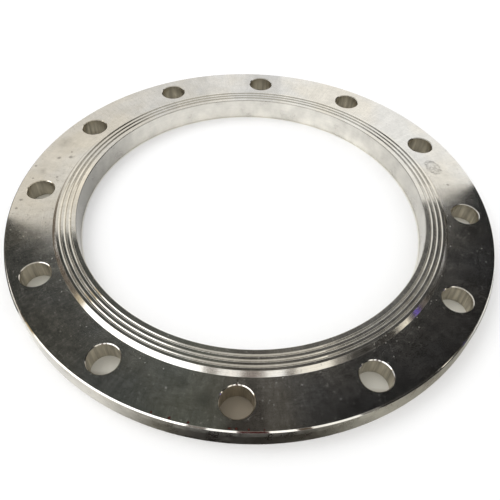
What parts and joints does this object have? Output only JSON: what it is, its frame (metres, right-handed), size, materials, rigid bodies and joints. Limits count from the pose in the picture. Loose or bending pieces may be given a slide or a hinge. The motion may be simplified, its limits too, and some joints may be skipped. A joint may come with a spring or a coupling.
{
  "type": "flat plate flange",
  "caption": "Flat steel pipe flange: a turned ring with a raised, grooved sealing face round a wide plain bore and a circle of bolt holes.",
  "frame": {"origin": "on the axis of the bore, in the plane of the back face that the flange lies on", "axes": "+Z along the axis towards the raised sealing face, +X through the centre of one bolt hole"},
  "size_m": [0.39, 0.39, 0.019],
  "materials": {
    "turned_steel": "bare stainless steel with fine concentric turning marks, lightly stained by handling"
  },
  "bodies": {
    "root": {"flange_ring": "turned_steel"}
  },
  "joints": []
}
